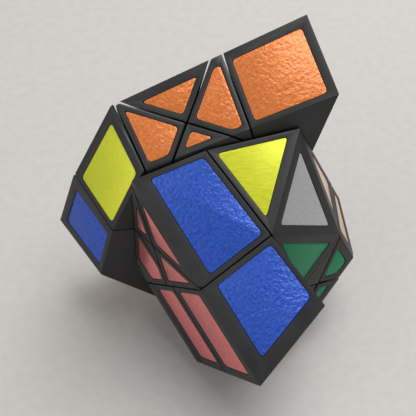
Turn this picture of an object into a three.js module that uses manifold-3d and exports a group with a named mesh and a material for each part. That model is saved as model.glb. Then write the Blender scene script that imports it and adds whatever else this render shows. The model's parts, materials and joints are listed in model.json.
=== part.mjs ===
// A twelve-faced turning puzzle, stopped in the middle of a turn of one half against the other.
// Millimetres, +Z up. The origin is on the surface it stands on, under the middle of the core.
import * as THREE from "three";
import { mergeVertices } from "three/addons/utils/BufferGeometryUtils.js";
import Module from "manifold-3d";

const wasm = await Module();
wasm.setup();

// ---- Driving dimensions ----
const halfTurnLean = 40;        // lean of the cut between the two halves, degrees
const restTilt = 50;            // how far above level the large blue face looks, degrees
const restDrop = 37;            // from the middle of the core down to the ground
const pieceGap = 0.5;           // groove between two neighbouring pieces of one half
const halfGap = 0.7;            // groove between the two halves
const stickerThickness = 0.45;
const stickerBed = 0.1;         // adhesive under a sticker
const pocketDepth = 0.7;        // depth of a sticker's pocket
const pocketClearance = 0.12;   // between a sticker's edge and its pocket
const cutMargin = 1.5;          // black plastic between a sticker and a groove
const rimMargin = 2.7;          // black plastic between a sticker and the next outer face
const blueRimMargin = 4.6;      // the same on the blue corners
const stickerCorner = 1.3;      // corner radius of a sticker
const smallestSticker = 9;      // square millimetres; smaller faces carry no sticker
const ballRadius = 8.5;         // core ball
const cavityRadius = 15;        // round space that the core turns in
const armRadius = 3.4;
const armReach = 12.6;          // from the middle of the core to the end of an arm
const screwRadius = 1.2;
const screwHeadRadius = 2.5;
const screwHeadHeight = 1.5;
const screwDepth = 6;
const capRadius = 6;            // retaining cap under each screw head
const capThickness = 1.6;
const runningGap = 0.35;        // between parts that turn on each other
const deepCutHeight = 8;        // cut behind the orange pieces, above the middle of the core
const shortestSide = 0.4;       // shorter sides of a sticker are dropped
const samePoint = 0.05;         // points closer than this are one corner
const onPlane = 0.01;           // a point this near a plane lies on it

const degrees = Math.PI / 180;
const vec = (x, y, z) => new THREE.Vector3(x, y, z);
const core = vec(-9, 5, -26);                          // middle of the core, from the corner of the crown

// ---- Directions in the puzzle's own frame: the large blue face looks along +Z ----
const acrossBlue = vec(0.79, 0.61, 0).normalize();     // over the cut beside the blue face
const alongBlue = vec(0.61, -0.79, 0).normalize();     // along that cut
const towardRed = vec(-0.848, -0.531, 0).normalize();  // from the blue face over to the red one
const worldUp = vec(0, Math.cos(restTilt * degrees), Math.sin(restTilt * degrees));

// A plane keeps what lies behind it: n . point <= d.
function planeThrough(normal, point) {
  const n = normal.clone().normalize();
  return { n, d: n.dot(point) };
}

function planeOfPoints(a, b, c) {
  const n = b.clone().sub(a).cross(c.clone().sub(a)).normalize();
  return planeThrough(n.dot(core) > n.dot(a) ? n.negate() : n, a);
}

function planeFromCore(normal, distance) {
  const n = normal.clone().normalize();
  return { n, d: n.dot(core) + distance };
}

const flipped = (plane) => ({ n: plane.n.clone().negate(), d: -plane.d });

// A direction that leans away from +Z by an angle, towards a level direction.
function leaning(level, angle) {
  return level.clone().multiplyScalar(Math.sin(angle * degrees)).add(vec(0, 0, Math.cos(angle * degrees)));
}

// ---- The three deep cuts, all through the middle of the core ----
const turnAxis = leaning(vec(-0.375, 0.927, 0).normalize(), 90 + halfTurnLean);
const halfCut = planeThrough(turnAxis, core);
const besideBlue = planeThrough(alongBlue.clone().cross(core), core);
const acrossMiddle = planeThrough(acrossBlue.clone().cross(core), core);

// ---- The outer faces. Each has a sticker colour ----
const crown = vec(0, 0, 0);                 // where blue, yellow, silver and green meet
const silverTop = vec(8.4, 30.5, -4.8);
const silverSide = vec(22.3, -0.6, -22.6);
const greenFoot = vec(11.1, -15.7, -21.5);
const greenEnd = vec(8, -34.8, -32);        // lower end of the green face
const beigeEnd = vec(22, 10, -37);          // far edge of the beige face
const redTop = vec(-40, 15.5, 0);
const blueFoot = vec(15, -20.5, 0);
const pastBlueEnd = vec(0.78, -0.627, 0).normalize();
const orangeLeft = vec(-0.906, -0.42, 0).normalize();
const orangeFar = vec(-0.431, 0.902, 0).normalize();
const orangeRight = vec(0.936, 0.352, 0).normalize();
const orangeCorner = vec(-46, 37, 0);
const orangeTip = vec(10.5, 64, 0);
const foldBelowYellow = vec(-57.6, 16.2, -17.2);
const foldLow = vec(-47, 0.9, -14.5);       // the lower end of the same fold
const rearFoot = vec(-64.7, 3.7, -32.1);    // far lower corner of the rear blue face

const face = {
  blue: { ...planeThrough(vec(0, 0, 1), crown), colour: "blue", rim: blueRimMargin },
  red: { ...planeThrough(leaning(towardRed, 63.4), redTop), colour: "red" },
  blueEnd: { ...planeThrough(leaning(pastBlueEnd, 120), blueFoot), colour: "white" },
  redBelow: { ...planeFromCore(leaning(towardRed, 127), 29), colour: "purple" },
  yellow: { ...planeOfPoints(crown, vec(-19, 24.5, 0), silverTop), colour: "yellow" },
  silver: { ...planeOfPoints(crown, silverTop, silverSide), colour: "silver" },
  green: { ...planeOfPoints(crown, silverSide, greenFoot), colour: "green" },
  beige: { ...planeOfPoints(silverTop, silverSide, vec(20, 14, -26)), colour: "beige" },
  greenBelow: { ...planeThrough(leaning(pastBlueEnd, 122), greenEnd), colour: "pink" },
  beigeBelow: { ...planeThrough(leaning(vec(0.96, 0.28, 0).normalize(), 118), beigeEnd), colour: "cyan" },
  ground: { ...planeFromCore(worldUp.clone().negate(), restDrop), colour: "grey" },
  orange: { ...planeThrough(vec(0, 0.03, 1), vec(-5, 32, 0)), colour: "orange" },
  rearYellow: { ...planeThrough(leaning(orangeLeft, 42), orangeCorner), colour: "yellow" },
  rearBlue: { ...planeOfPoints(foldBelowYellow, foldLow, rearFoot), colour: "blue" },
  rearFar: { ...planeThrough(leaning(orangeFar, 124), orangeTip), colour: "green" },
  rearRight: { ...planeThrough(leaning(orangeRight, 128), orangeTip), colour: "purple" },
  greenUnder: { ...planeThrough(leaning(vec(-0.15, -0.99, 0).normalize(), 110), greenEnd), colour: "grey" },
  rearUnder: { ...planeFromCore(vec(0, 0.05, -1), 35), colour: "red" },
  rearLeftUnder: { ...planeThrough(vec(-0.7, -0.66, -0.37), rearFoot), colour: "white" },
  rearCorner: { ...planeFromCore(vec(0.35, 0.6, -0.7), 34), colour: "cyan" },
};

// ---- Solids ----
function solidOf(geometry) {
  const bare = geometry.clone();
  bare.deleteAttribute("normal");
  bare.deleteAttribute("uv");
  const merged = mergeVertices(bare, 1e-4);
  return new wasm.Manifold(new wasm.Mesh({
    numProp: 3,
    vertProperties: new Float32Array(merged.attributes.position.array),
    triVerts: new Uint32Array(merged.index.array),
  }));
}

function geometryOf(solid) {
  const mesh = solid.getMesh();
  const geometry = new THREE.BufferGeometry();
  geometry.setAttribute("position", new THREE.BufferAttribute(new Float32Array(mesh.vertProperties), 3));
  geometry.setIndex(new THREE.BufferAttribute(new Uint32Array(mesh.triVerts), 1));
  return geometry;
}

const blockSize = 400;

function blockAbove(plane) {
  const block = new THREE.BoxGeometry(blockSize, blockSize, blockSize);
  block.translate(0, 0, blockSize / 2);
  block.applyQuaternion(new THREE.Quaternion().setFromUnitVectors(vec(0, 0, 1), plane.n));
  block.translate(plane.n.x * plane.d, plane.n.y * plane.d, plane.n.z * plane.d);
  return solidOf(block);
}

const behind = (solid, plane, inset = 0) => solid.subtract(blockAbove({ n: plane.n, d: plane.d - inset }));
const beyond = (solid, plane, inset = 0) => behind(solid, flipped(plane), inset);

function bodyWithin(planes) {
  const start = solidOf(new THREE.BoxGeometry(blockSize / 2, blockSize / 2, blockSize / 2));
  return planes.reduce((solid, plane) => behind(solid, plane), start);
}

function split(solid, plane) {
  return [behind(solid, plane, pieceGap / 2), beyond(solid, plane, pieceGap / 2)];
}

// A round bar along an axis, between two distances from the middle of the core.
function barAlong(axis, radius, from, to, sides = 24) {
  const bar = new THREE.CylinderGeometry(radius, radius, to - from, sides);
  bar.translate(0, (from + to) / 2, 0);
  bar.applyQuaternion(new THREE.Quaternion().setFromUnitVectors(vec(0, 1, 0), axis));
  bar.translate(core.x, core.y, core.z);
  return solidOf(bar);
}

function ballAtCore(radius, sides = 32) {
  const ball = new THREE.SphereGeometry(radius, sides, sides / 2);
  ball.translate(core.x, core.y, core.z);
  return solidOf(ball);
}

// ---- Sticker outlines ----
// The corners of a solid that lie on a plane, in order around it.
function cornersOn(solid, plane) {
  const { vertProperties: list } = solid.getMesh();
  const found = [];
  for (let i = 0; i < list.length; i += 3) {
    const point = vec(list[i], list[i + 1], list[i + 2]);
    const near = found.some((other) => other.distanceTo(point) < samePoint);
    if (liesOn(plane, point) && !near) found.push(point);
  }
  if (found.length < 3) return [];
  const middle = found.reduce((sum, point) => sum.add(point), vec(0, 0, 0)).divideScalar(found.length);
  const right = found[0].clone().sub(middle).normalize();
  const up = plane.n.clone().cross(right);
  const part = (point, way) => point.clone().sub(middle).dot(way);
  const angle = (point) => Math.atan2(part(point, up), part(point, right));
  return found.sort((a, b) => angle(a) - angle(b));
}

// Moves every side of a flat convex outline inwards; an empty list says that nothing is left.
function insetOutline(points, distances) {
  let shape = points;
  const middle = points.reduce((sum, p) => sum.add(p), new THREE.Vector2()).divideScalar(points.length);
  for (let i = 0; i < points.length; i += 1) {
    const a = points[i];
    const side = points[(i + 1) % points.length].clone().sub(a).normalize();
    const inward = new THREE.Vector2(-side.y, side.x);
    if (inward.dot(middle.clone().sub(a)) < 0) inward.negate();
    const depth = (p) => inward.dot(p.clone().sub(a)) - distances[i];
    const kept = [];
    shape.forEach((p, k) => {
      const q = shape[(k + 1) % shape.length];
      if (depth(p) >= 0) kept.push(p);
      if (depth(p) * depth(q) < 0) kept.push(p.clone().lerp(q, depth(p) / (depth(p) - depth(q))));
    });
    shape = kept;
    if (shape.length < 3) return [];
  }
  return shape.filter((p, k) => p.distanceTo(shape[(k + 1) % shape.length]) > shortestSide);
}

const outlineArea = (points) => Math.abs(THREE.ShapeUtils.area(points));

// A shape with the corners of an outline rounded off.
function roundedShape(points, radius) {
  const shape = new THREE.Shape();
  points.forEach((p, k) => {
    const before = points[(k + points.length - 1) % points.length].clone().sub(p);
    const after = points[(k + 1) % points.length].clone().sub(p);
    const reach = Math.min(radius, before.length() * 0.45, after.length() * 0.45);
    const start = p.clone().add(before.normalize().multiplyScalar(reach));
    const end = p.clone().add(after.normalize().multiplyScalar(reach));
    if (k === 0) shape.moveTo(start.x, start.y);
    else shape.lineTo(start.x, start.y);
    shape.quadraticCurveTo(p.x, p.y, end.x, end.y);
  });
  shape.closePath();
  return shape;
}

// A flat plate under an outline on a plane, from one height to another above that plane.
function plateOn(plane, outline, low, high) {
  const frame = new THREE.Matrix4().makeBasis(plane.right, plane.up, plane.n);
  frame.setPosition(plane.n.clone().multiplyScalar(plane.d + low));
  const shape = roundedShape(outline, stickerCorner);
  const plate = new THREE.ExtrudeGeometry(shape, {
    depth: high - low, bevelEnabled: false, curveSegments: 4,
  });
  plate.applyMatrix4(frame);
  return solidOf(plate);
}

function planeWithAxes(plane) {
  const right = vec(0.31, 0.52, 0.79).cross(plane.n).normalize();
  return { rim: rimMargin, ...plane, right, up: plane.n.clone().cross(right) };
}

const outerFaces = Object.entries(face).filter(([name]) => name !== "ground")
  .map(([name, plane]) => [name, planeWithAxes(plane)]);

const liesOn = (plane, point) => Math.abs(plane.n.dot(point) - plane.d) < onPlane;

// The sticker outline on one face of a piece, or nothing where the face is too small.
function stickerOutline(solid, plane) {
  const corners = cornersOn(solid, plane);
  if (corners.length < 3) return null;
  const flat = corners.map((p) => new THREE.Vector2(p.dot(plane.right), p.dot(plane.up)));
  const margins = corners.map((p, k) => {
    const q = corners[(k + 1) % corners.length];
    const meets = ([, other]) => other.n.dot(plane.n) < 0.999 && liesOn(other, p) && liesOn(other, q);
    return outerFaces.some(meets) ? plane.rim : cutMargin;
  });
  const inside = insetOutline(flat, margins);
  return inside.length > 2 && outlineArea(inside) > smallestSticker ? inside : null;
}

// ---- Cutting the three bodies of the shell into pieces ----
const blueBody = bodyWithin([
  face.blue, face.red, face.blueEnd, face.redBelow, face.ground,
  { n: halfCut.n, d: halfCut.d - halfGap / 2 }, { n: besideBlue.n, d: besideBlue.d - pieceGap / 2 },
]);
const crownSide = bodyWithin([
  face.yellow, face.silver, face.green, face.beige, face.greenBelow, face.beigeBelow, face.greenUnder,
  face.ground, { n: halfCut.n, d: halfCut.d - halfGap / 2 },
]);
const crownBody = beyond(crownSide, besideBlue, pieceGap / 2);
const underBody = beyond(behind(crownSide, besideBlue, pieceGap / 2), face.blueEnd, pieceGap);
const rearBody = beyond(bodyWithin([
  face.orange, face.rearYellow, face.rearBlue, face.rearLeftUnder, face.rearFar, face.rearRight,
  face.rearUnder, face.rearCorner, face.ground,
]), halfCut, halfGap / 2);

// A cut square to the red face, through two of its points (along its upper edge, then down it).
const alongRed = vec(0.531, -0.848, 0).normalize();
const downRed = alongRed.clone().cross(face.red.n).normalize();
function redPoint(along, down) {
  const way = downRed.z > 0 ? -1 : 1;
  return redTop.clone().addScaledVector(alongRed, along).addScaledVector(downRed, way * down);
}
function redCut(from, to) {
  const a = redPoint(...from);
  const b = redPoint(...to);
  return planeThrough(b.clone().sub(a).cross(face.red.n), a);
}
// The side of a cut that holds a given point comes first.
function splitBy(solid, plane, point) {
  const parts = split(solid, plane);
  return plane.n.dot(point) < plane.d ? parts : parts.reverse();
}

const pieces = {};
const fallingCut = redCut([0, 1], [34.4, 21]);
const risingCut = redCut([7.6, 20], [35.4, 0.6]);
const highCut = redCut([0, 16], [70, 16]);
const lowCut = redCut([0, 28.5], [70, 28.5]);

function cutUpperBlue(body) {
  const belowEdge = redPoint(20, 3);
  const [outer, inner] = splitBy(body, fallingCut, belowEdge);
  const [upperBlue, point] = splitBy(outer, risingCut, belowEdge);
  const [side, centre] = splitBy(inner, risingCut, redPoint(6, 12));
  pieces.upper_blue_corner = upperBlue;
  pieces.red_point_right = point;
  pieces.red_side_left = side;
  const [centreHigh, centreRest] = splitBy(centre, highCut, redPoint(22, 13));
  const [centreLow, base] = splitBy(centreRest, lowCut, redPoint(22, 22));
  pieces.red_star_upper = centreHigh;
  pieces.red_star_middle = centreLow;
  pieces.red_base_upper = base;
}

function cutLowerBlue(body) {
  const [lowerBlue, rest] = splitBy(body, highCut, redPoint(45, 5));
  const [band, base] = splitBy(rest, lowCut, redPoint(45, 22));
  pieces.lower_blue_corner = lowerBlue;
  pieces.red_band_lower = band;
  pieces.red_base_lower = base;
}

function cutCrown(body) {
  const greenCut = planeOfPoints(silverSide.clone().add(vec(0.4, -0.6, 0)), greenFoot, core);
  const [crownCorner, rest] = splitBy(body, greenCut, vec(4, 8, -8));
  pieces.crown_corner = crownCorner;
  const tip = vec(15.7, -15.7, -26.5);
  const steep = planeThrough(face.green.n.clone().cross(vec(-0.18, -0.98, 0)), tip);
  const flat = planeThrough(face.green.n.clone().cross(vec(0.97, 0.25, -1)), tip);
  const [left, right] = splitBy(rest, steep, vec(8, -22, -42));
  const [leftPoint, leftBase] = splitBy(left, flat, vec(13, -13, -30));
  const [kite, rightBase] = splitBy(right, flat, vec(24, -6, -35));
  pieces.green_point = leftPoint;
  pieces.green_base_left = leftBase;
  pieces.green_kite = kite;
  pieces.green_base_right = rightBase;
}

function cutRear(body) {
  const squareCut = planeThrough(orangeRight, vec(-10.4, 42, 0));
  const [main, square] = splitBy(body, squareCut, vec(-25, 35, -5));
  pieces.orange_square_corner = square;
  const cross = vec(-24.2, 32, 0);
  const steep = planeThrough(face.orange.n.clone().cross(vec(0.34, 0.94, 0)), cross);
  const shallow = planeThrough(face.orange.n.clone().cross(vec(0.955, -0.29, 0)), cross);
  const yellowCut = planeThrough(leaning(orangeLeft, 90 - 12), vec(-44.6, 36.6, 0));
  const [inner, left] = splitBy(main, yellowCut, vec(-25, 35, -5));
  const foldCut = planeOfPoints(foldBelowYellow, foldLow, core);
  [pieces.yellow_side_corner, pieces.blue_side_corner] = splitBy(left, foldCut, vec(-46, 30, -5));
  const deepCut = planeFromCore(vec(0, 0.05, 1), deepCutHeight);
  const [deep, top] = splitBy(inner, deepCut, vec(-25, 35, -70));
  pieces.rear_base = deep;
  const [west, east] = splitBy(top, steep, vec(-34, 30, -1));
  [pieces.orange_triangle, pieces.orange_side] = splitBy(west, shallow, vec(-30, 40, -1));
  [pieces.orange_kite, pieces.orange_point] = splitBy(east, shallow, vec(-12, 42, -1));
}

const [upperBlueBody, lowerBlueBody] = splitBy(blueBody, acrossMiddle, vec(-20, 10, -5));
cutUpperBlue(upperBlueBody);
cutLowerBlue(lowerBlueBody);
cutCrown(crownBody);
pieces.green_base_under = underBody;
cutRear(rearBody);
const rearNames = new Set(["orange_square_corner", "yellow_side_corner", "blue_side_corner", "rear_base",
  "orange_triangle", "orange_side", "orange_kite", "orange_point"]);

// ---- Colours ----
const colours = {
  blue: 0x2f4fc0, red: 0xb5474c, white: 0xe8e8e4, purple: 0x6d3f92, yellow: 0xd6dc1c, silver: 0xb9babc,
  green: 0x127a47, beige: 0xd9b795, pink: 0xe58aa8, cyan: 0x49aebf, grey: 0x6f7275, orange: 0xe2762b,
};
const plastic = () => new THREE.MeshStandardMaterial({ color: 0x141414, roughness: 0.5, metalness: 0 });
const steel = () => new THREE.MeshStandardMaterial({ color: 0x9a9da1, roughness: 0.35, metalness: 1 });
const foil = (name) => new THREE.MeshStandardMaterial({
  color: colours[name], roughness: 0.35, metalness: 0.2,
});

const puzzle = new THREE.Group();

function addPart(name, solid, material) {
  const mesh = new THREE.Mesh(geometryOf(solid), material);
  mesh.name = name;
  puzzle.add(mesh);
}

// ---- Pieces with their sticker pockets, and the stickers ----
const shownFaces = new Set(["blue", "red", "yellow", "silver", "green", "beige", "orange", "rearYellow",
  "rearBlue", "rearFar"]);
const frontFaces = new Set(["blue", "red", "blueEnd", "redBelow", "yellow", "silver", "green", "beige",
  "greenBelow", "beigeBelow", "greenUnder"]);

const cavity = ballAtCore(cavityRadius);
const stickers = [];
for (const [name, whole] of Object.entries(pieces)) {
  let piece = whole.subtract(cavity);
  for (const [faceName, plane] of outerFaces) {
    if (frontFaces.has(faceName) === rearNames.has(name)) continue;
    const outline = stickerOutline(whole, plane);
    if (!outline) continue;
    piece = piece.subtract(plateOn(plane, outline, -pocketDepth, 1));
    const inside = insetOutline(outline, outline.map(() => pocketClearance));
    if (inside.length < 3) continue;
    const low = stickerBed - pocketDepth;
    stickers.push({ name: `${name}_${faceName}`, colour: plane.colour, shown: shownFaces.has(faceName),
      solid: plateOn(plane, inside, low, low + stickerThickness) });
  }
  addPart(name, piece, plastic());
}
for (const sticker of stickers.filter(({ shown }) => shown)) {
  addPart(`sticker_${sticker.name}`, sticker.solid, foil(sticker.colour));
}

// ---- Core: a ball with two arms on the turning axis, a screw and a retaining cap at each end ----
const ends = { front: turnAxis.clone().negate(), rear: turnAxis.clone() };
let coreBall = ballAtCore(ballRadius);
for (const axis of Object.values(ends)) {
  coreBall = coreBall.add(barAlong(axis, armRadius, 0, armReach - capThickness - 2 * runningGap));
  const screwHole = barAlong(axis, screwRadius + runningGap, armReach - screwDepth - 1, armReach + 1);
  coreBall = coreBall.subtract(screwHole);
}
addPart("core_ball", coreBall, plastic());
for (const [end, axis] of Object.entries(ends)) {
  const under = armReach - capThickness - runningGap;
  const cap = barAlong(axis, capRadius, under, armReach - runningGap)
    .subtract(barAlong(axis, screwRadius + runningGap, under - 1, armReach + 1));
  addPart(`${end}_retaining_cap`, cap, steel());
  const head = barAlong(axis, screwHeadRadius, armReach, armReach + screwHeadHeight);
  const screw = head.add(barAlong(axis, screwRadius, armReach - screwDepth, armReach + 0.1));
  addPart(`${end}_core_screw`, screw, steel());
}

// ---- Standing it on the ground ----
puzzle.position.copy(core).negate();
const stand = new THREE.Group();
stand.add(puzzle);
stand.quaternion.setFromUnitVectors(worldUp, vec(0, 0, 1));
stand.position.set(0, 0, restDrop);

export default stand;
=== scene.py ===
# A scrambled turning puzzle on a pale table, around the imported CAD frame. Metres, +Z up.
import json
import math
import bmesh
import bpy
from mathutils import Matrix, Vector


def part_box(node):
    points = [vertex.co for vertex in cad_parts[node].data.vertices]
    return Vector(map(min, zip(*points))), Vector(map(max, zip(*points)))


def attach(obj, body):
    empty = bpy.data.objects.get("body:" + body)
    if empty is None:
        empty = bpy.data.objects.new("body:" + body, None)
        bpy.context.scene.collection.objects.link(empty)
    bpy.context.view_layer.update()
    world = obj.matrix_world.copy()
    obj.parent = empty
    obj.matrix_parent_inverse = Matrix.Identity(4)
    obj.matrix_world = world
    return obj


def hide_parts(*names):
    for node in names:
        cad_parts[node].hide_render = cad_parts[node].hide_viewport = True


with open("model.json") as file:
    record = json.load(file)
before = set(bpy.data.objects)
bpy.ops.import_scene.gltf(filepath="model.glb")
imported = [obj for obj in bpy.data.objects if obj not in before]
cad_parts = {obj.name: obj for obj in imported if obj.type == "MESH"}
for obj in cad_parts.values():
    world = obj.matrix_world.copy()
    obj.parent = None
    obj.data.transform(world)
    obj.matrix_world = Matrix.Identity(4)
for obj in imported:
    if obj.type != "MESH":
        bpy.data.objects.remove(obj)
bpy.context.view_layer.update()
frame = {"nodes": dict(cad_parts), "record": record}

MM = 0.001

# ---- Sizes shared with the CAD model ----
REST_TILT = math.radians(50)
CORE = Vector((-9, 5, -26)) * MM
REST_DROP = 37 * MM
POCKET_DEPTH = 0.7 * MM
STICKER_THICKNESS = 0.45 * MM
STICKER_BED = 0.1 * MM
POCKET_CLEARANCE = 0.12 * MM

# ---- Finish sizes ----
OUTER_EDGE = 1.3 * MM           # rounding where two outer faces meet
GROOVE_EDGE = 0.5 * MM          # rounding along a groove
POCKET_EDGE = 0.1 * MM          # rounding of a sticker's pocket
NARROW_FACE = 2.0 * MM          # a face is narrow below this width
NARROW_EDGE = 0.25 * MM         # rounding of a narrow face
STICKER_EDGE = 0.1 * MM         # soft edge of a sticker
EDGE_ANGLE = math.radians(24)   # sharper folds than this get a rounded edge
PLASTIC_SEGMENTS = 4
STICKER_SEGMENTS = 2

# ---- Limits for finding pockets and their stickers ----
JOIN_DISTANCE = 0.002 * MM
FLAT_ANGLE = math.radians(0.4)  # folds below this are made flat
SAME_WAY = 0.9995               # cosine between directions taken as one
POCKET_CORNERS = 9              # a pocket's floor has at least this many corners
POCKET_AREA = 6 * MM * MM       # and at least this area
RISE_TOLERANCE = 0.05 * MM
UPRIGHT_TOLERANCE = 0.01 * MM
STICKER_DISTANCE = 3 * MM       # a pocket this near a CAD sticker's middle already has its sticker

# ---- Camera, square to the large blue face ----
CAMERA_DISTANCE = 300 * MM
CAMERA_AIM = Vector((-18.2, 7.7, 0)) * MM
VIEW_WIDTH = 118.6 * MM
SENSOR_WIDTH = 36


def turned(v):
    """A direction in the puzzle's own frame, as one in the frame it stands in."""
    c, s = math.cos(REST_TILT), math.sin(REST_TILT)
    return Vector((v.x, v.y * s - v.z * c, v.y * c + v.z * s))


def placed(v):
    """A point in the puzzle's own frame, as one in the frame it stands in."""
    return turned(v - CORE) + Vector((0, 0, REST_DROP))


# ---- Materials ----
def new_material(name):
    material = bpy.data.materials.new(name)
    material.use_nodes = True
    tree = material.node_tree
    return material, tree, tree.nodes["Principled BSDF"]


def add_noise(tree, scale, detail, stretch=(1, 1, 1), turn=(0, 0, 0)):
    coordinates = tree.nodes.new("ShaderNodeTexCoord")
    mapping = tree.nodes.new("ShaderNodeMapping")
    mapping.inputs["Scale"].default_value = stretch
    mapping.inputs["Rotation"].default_value = turn
    noise = tree.nodes.new("ShaderNodeTexNoise")
    noise.inputs["Scale"].default_value = scale
    noise.inputs["Detail"].default_value = detail
    tree.links.new(coordinates.outputs["Object"], mapping.inputs["Vector"])
    tree.links.new(mapping.outputs["Vector"], noise.inputs["Vector"])
    return noise


def add_ramp(tree, source, low, high):
    ramp = tree.nodes.new("ShaderNodeValToRGB")
    ramp.color_ramp.elements[0].position = 0.3
    ramp.color_ramp.elements[0].color = low
    ramp.color_ramp.elements[1].position = 0.7
    ramp.color_ramp.elements[1].color = high
    tree.links.new(source, ramp.inputs["Fac"])
    return ramp.outputs["Color"]


def add_bump(tree, shader, height, strength, distance):
    bump = tree.nodes.new("ShaderNodeBump")
    bump.inputs["Strength"].default_value = strength
    bump.inputs["Distance"].default_value = distance
    tree.links.new(height, bump.inputs["Height"])
    tree.links.new(bump.outputs["Normal"], shader.inputs["Normal"])


def grey(value):
    return (value, value, value, 1)


def black_plastic():
    material, tree, shader = new_material("black_plastic")
    cloud = add_noise(tree, 90, 4)
    dark, light = (0.004, 0.004, 0.0045, 1), (0.009, 0.009, 0.0095, 1)
    colour = add_ramp(tree, cloud.outputs["Fac"], dark, light)
    tree.links.new(colour, shader.inputs["Base Color"])
    rough = add_ramp(tree, cloud.outputs["Fac"], grey(0.40), grey(0.52))
    tree.links.new(rough, shader.inputs["Roughness"])
    grain = add_noise(tree, 2600, 2)
    add_bump(tree, shader, grain.outputs["Fac"], 0.25, 0.03 * MM)
    return material


def leather_foil(name, dark, light):
    """A glossy sticker embossed with a leather grain."""
    material, tree, shader = new_material(name)
    cloud = add_noise(tree, 1400, 3)
    colour = add_ramp(tree, cloud.outputs["Fac"], dark, light)
    tree.links.new(colour, shader.inputs["Base Color"])
    shader.inputs["Metallic"].default_value = 0.25
    rough = add_ramp(tree, cloud.outputs["Fac"], grey(0.26), grey(0.36))
    tree.links.new(rough, shader.inputs["Roughness"])
    grain = add_noise(tree, 900, 3)
    add_bump(tree, shader, grain.outputs["Fac"], 0.8, 0.4 * MM)
    return material


def brushed_foil(name, dark, light, metallic, roughness):
    """A metallic sticker with fine brush lines."""
    material, tree, shader = new_material(name)
    lines = add_noise(tree, 900, 3, stretch=(0.12, 3.0, 3.0), turn=(0.4, 0.9, 0.5))
    colour = add_ramp(tree, lines.outputs["Fac"], dark, light)
    tree.links.new(colour, shader.inputs["Base Color"])
    shader.inputs["Metallic"].default_value = metallic
    rough = add_ramp(tree, lines.outputs["Fac"], grey(roughness - 0.05), grey(roughness + 0.07))
    tree.links.new(rough, shader.inputs["Roughness"])
    add_bump(tree, shader, lines.outputs["Fac"], 0.3, 0.03 * MM)
    return material


def steel():
    material, tree, shader = new_material("steel")
    lines = add_noise(tree, 1500, 2, stretch=(0.2, 2, 2))
    colour = add_ramp(tree, lines.outputs["Fac"], grey(0.42), grey(0.6))
    tree.links.new(colour, shader.inputs["Base Color"])
    shader.inputs["Metallic"].default_value = 1
    rough = add_ramp(tree, lines.outputs["Fac"], grey(0.25), grey(0.4))
    tree.links.new(rough, shader.inputs["Roughness"])
    return material


MATERIALS = {
    "black_plastic": black_plastic(),
    "steel": steel(),
    "sticker_blue": leather_foil(
        "foil_blue", (0.008, 0.045, 0.30, 1), (0.02, 0.08, 0.44, 1)),
    "sticker_orange": leather_foil(
        "foil_orange", (0.50, 0.12, 0.02, 1), (0.64, 0.19, 0.045, 1)),
    "sticker_yellow": brushed_foil(
        "foil_yellow", (0.48, 0.51, 0.015, 1), (0.60, 0.62, 0.025, 1), 0.35, 0.4),
    "sticker_red": brushed_foil(
        "foil_red", (0.62, 0.15, 0.15, 1), (0.74, 0.24, 0.23, 1), 0.75, 0.32),
    "sticker_silver": brushed_foil(
        "foil_silver", (0.36, 0.36, 0.37, 1), (0.50, 0.50, 0.51, 1), 0.7, 0.38),
    "sticker_green": brushed_foil(
        "foil_green", (0.004, 0.17, 0.075, 1), (0.012, 0.25, 0.11, 1), 0.45, 0.36),
    "sticker_beige": brushed_foil(
        "foil_beige", (0.62, 0.44, 0.32, 1), (0.78, 0.58, 0.43, 1), 0.6, 0.38),
}
MATERIALS["core_plastic"] = MATERIALS["black_plastic"]

SLOT_OF = {part["node"]: part["material_slot"] for part in frame["record"]["subparts"]}
BODIES = frame["record"]["behaviour"]["bodies"]
BODY_OF = {node: body for body, nodes in BODIES.items() for node in nodes}


# ---- Meshes ----
def clean_mesh(node):
    """A joined-up copy of a CAD node's mesh, with its flat faces whole."""
    mesh = bmesh.new()
    mesh.from_mesh(frame["nodes"][node].data)
    bmesh.ops.remove_doubles(mesh, verts=mesh.verts, dist=JOIN_DISTANCE)
    bmesh.ops.dissolve_limit(mesh, angle_limit=FLAT_ANGLE, verts=mesh.verts, edges=mesh.edges)
    return mesh


def is_pocket_wall(flat):
    longest = max(edge.calc_length() for edge in flat.edges)
    return flat.calc_area() / longest < POCKET_DEPTH * 1.05


def edge_radius(edge, outer):
    """How far to round one fold of a piece; outer holds the directions of its outer faces."""
    if len(edge.link_faces) != 2 or edge.calc_face_angle() < EDGE_ANGLE:
        return 0
    if any(is_pocket_wall(flat) for flat in edge.link_faces):
        return POCKET_EDGE if edge.is_convex else 0
    if not edge.is_convex:
        return 0
    if any(flat.calc_area() / edge.calc_length() < NARROW_FACE for flat in edge.link_faces):
        return NARROW_EDGE
    if all(any(flat.normal.dot(way) > SAME_WAY for way in outer) for flat in edge.link_faces):
        return OUTER_EDGE
    return GROOVE_EDGE


def rounded_piece(name, mesh, radii, material, segments):
    """A piece with its folds rounded, each by its own radius."""
    data = bpy.data.meshes.new(name)
    widest = max(radii)
    layer = mesh.edges.layers.float.new("bevel_weight_edge")
    for edge, radius in zip(mesh.edges, radii):
        edge[layer] = radius / widest
    mesh.to_mesh(data)
    piece = bpy.data.objects.new(name, data)
    bpy.context.scene.collection.objects.link(piece)
    bevel = piece.modifiers.new("edges", "BEVEL")
    bevel.width = widest
    bevel.segments = segments
    bevel.limit_method = "WEIGHT"
    bevel.use_clamp_overlap = True
    bevel.harden_normals = True
    data.materials.append(material)
    for polygon in data.polygons:
        polygon.use_smooth = True
    return piece


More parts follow.
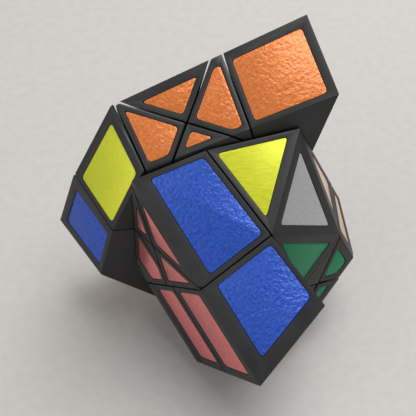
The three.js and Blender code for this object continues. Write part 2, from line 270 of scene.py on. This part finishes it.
def pocket_floors(mesh):
    """The floors of the sticker pockets: walls of the pocket's depth stand on their corners."""
    floors = []
    for flat in mesh.faces:
        if len(flat.verts) < POCKET_CORNERS or flat.calc_area() < POCKET_AREA:
            continue
        walls = 0
        for vert in flat.verts:
            for edge in vert.link_edges:
                rise = (edge.other_vert(vert).co - vert.co).dot(flat.normal)
                is_tall = abs(rise - POCKET_DEPTH) < RISE_TOLERANCE
                if is_tall and abs(edge.calc_length() - rise) < UPRIGHT_TOLERANCE:
                    walls += 1
        if walls >= len(flat.verts) - 1:
            floors.append((flat.normal.copy(), [vert.co.copy() for vert in flat.verts]))
    return floors


def sticker_radii(mesh):
    return [STICKER_EDGE if edge.calc_face_angle(0) > EDGE_ANGLE else 0 for edge in mesh.edges]


def sticker_on(normal, corners):
    """A sticker that lies in a pocket, a little inside its walls."""
    middle = sum(corners, Vector()) / len(corners)
    mesh = bmesh.new()
    inside = []
    for corner in corners:
        inward = (middle - corner).normalized()
        inside.append(corner + inward * POCKET_CLEARANCE + normal * STICKER_BED)
    low = [mesh.verts.new(point) for point in inside]
    high = [mesh.verts.new(point + normal * STICKER_THICKNESS) for point in inside]
    count = len(inside)
    mesh.faces.new(high)
    mesh.faces.new(list(reversed(low)))
    for k in range(count):
        mesh.faces.new((low[k], low[(k + 1) % count], high[(k + 1) % count], high[k]))
    mesh.normal_update()
    return mesh


# ---- Colours of the faces that the camera doesn't see, by the way that they look ----
HIDDEN_COLOURS = {
    "front_half": [
        ((0.68, -0.54, -0.5), "sticker_silver"), ((-0.68, -0.42, -0.6), "sticker_orange"),
        ((0.66, -0.53, -0.53), "sticker_yellow"), ((0.87, 0.18, -0.47), "sticker_orange"),
        ((-0.14, -0.93, -0.34), "sticker_beige"),
    ],
    "rear_half": [
        ((0.82, 0.31, -0.48), "sticker_red"), ((0, 0.05, -1), "sticker_silver"),
        ((-0.63, -0.69, -0.36), "sticker_beige"), ((0.35, 0.6, -0.7), "sticker_yellow"),
    ],
}


def hidden_slot(body, normal):
    return max(HIDDEN_COLOURS[body], key=lambda row: turned(Vector(row[0])).dot(normal))[1]


def sticker_middles():
    middles = []
    for node in SLOT_OF:
        if node.startswith("sticker_"):
            low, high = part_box(node)
            middles.append((Vector(low) + Vector(high)) / 2)
    return middles


def build_puzzle():
    middles = sticker_middles()
    for node, material_slot in SLOT_OF.items():
        material = MATERIALS[material_slot]
        if material_slot in ("steel", "core_plastic"):
            frame["nodes"][node].data.materials.clear()
            frame["nodes"][node].data.materials.append(material)
            continue
        mesh = clean_mesh(node)
        is_sticker = node.startswith("sticker_")
        floors = [] if is_sticker else pocket_floors(mesh)
        if is_sticker:
            radii, segments = sticker_radii(mesh), STICKER_SEGMENTS
        else:
            outer = [normal for normal, _ in floors]
            radii, segments = [edge_radius(edge, outer) for edge in mesh.edges], PLASTIC_SEGMENTS
        piece = rounded_piece(f"{node}_fine", mesh, radii, material, segments)
        mesh.free()
        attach(piece, BODY_OF[node])
        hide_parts(node)
        for k, (normal, corners) in enumerate(floors):
            middle = sum(corners, Vector()) / len(corners)
            if any((middle - other).length < STICKER_DISTANCE for other in middles):
                continue
            colour = hidden_slot(BODY_OF[node], normal)
            extra_mesh = sticker_on(normal, corners)
            extra = rounded_piece(f"hidden_sticker_{node}_{k}", extra_mesh,
                                  sticker_radii(extra_mesh), MATERIALS[colour], STICKER_SEGMENTS)
            extra_mesh.free()
            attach(extra, BODY_OF[node])


# ---- Floor, light and camera ----
def floor():
    size = 3.0
    data = bpy.data.meshes.new("floor")
    corners = [(-size, -size, 0), (size, -size, 0), (size, size, 0), (-size, size, 0)]
    data.from_pydata(corners, [], [(0, 1, 2, 3)])
    plane = bpy.data.objects.new("floor", data)
    bpy.context.scene.collection.objects.link(plane)
    plane.location.z = -0.05 * MM
    material, tree, shader = new_material("floor_paper")
    cloud = add_noise(tree, 300, 4)
    dark, light = (0.36, 0.345, 0.325, 1), (0.385, 0.37, 0.35, 1)
    colour = add_ramp(tree, cloud.outputs["Fac"], dark, light)
    tree.links.new(colour, shader.inputs["Base Color"])
    shader.inputs["Roughness"].default_value = 0.7
    data.materials.append(material)


AIM_OF_LIGHTS = Vector((0, 0, 0.04))


def area_light(name, location, size, power):
    data = bpy.data.lights.new(name, "AREA")
    data.shape = "DISK"
    data.size = size
    data.energy = power
    light = bpy.data.objects.new(name, data)
    light.location = location
    light.rotation_euler = (AIM_OF_LIGHTS - Vector(location)).to_track_quat("-Z", "Y").to_euler()
    bpy.context.scene.collection.objects.link(light)


def lights():
    area_light("key", (0.25, 0.15, 0.9), 0.8, 9)
    area_light("fill", (-0.8, -0.6, 0.5), 1.0, 4)
    area_light("back", (0.3, 0.9, 0.7), 0.8, 5)
    world = bpy.data.worlds.new("studio")
    world.use_nodes = True
    world.node_tree.nodes["Background"].inputs["Color"].default_value = (0.9, 0.92, 0.95, 1)
    world.node_tree.nodes["Background"].inputs["Strength"].default_value = 0.55
    bpy.context.scene.world = world


def camera():
    data = bpy.data.cameras.new("camera")
    data.sensor_width = SENSOR_WIDTH
    data.lens = SENSOR_WIDTH * CAMERA_DISTANCE / VIEW_WIDTH
    data.clip_start = 0.01
    eye = bpy.data.objects.new("camera", data)
    aim = placed(CAMERA_AIM)
    eye.location = placed(CAMERA_AIM + Vector((0, 0, CAMERA_DISTANCE)))
    eye.rotation_euler = (aim - eye.location).to_track_quat("-Z", "Y").to_euler()
    bpy.context.scene.collection.objects.link(eye)
    bpy.context.scene.camera = eye


camera()
build_puzzle()
floor()
lights()
bpy.context.scene.view_settings.view_transform = "Standard"
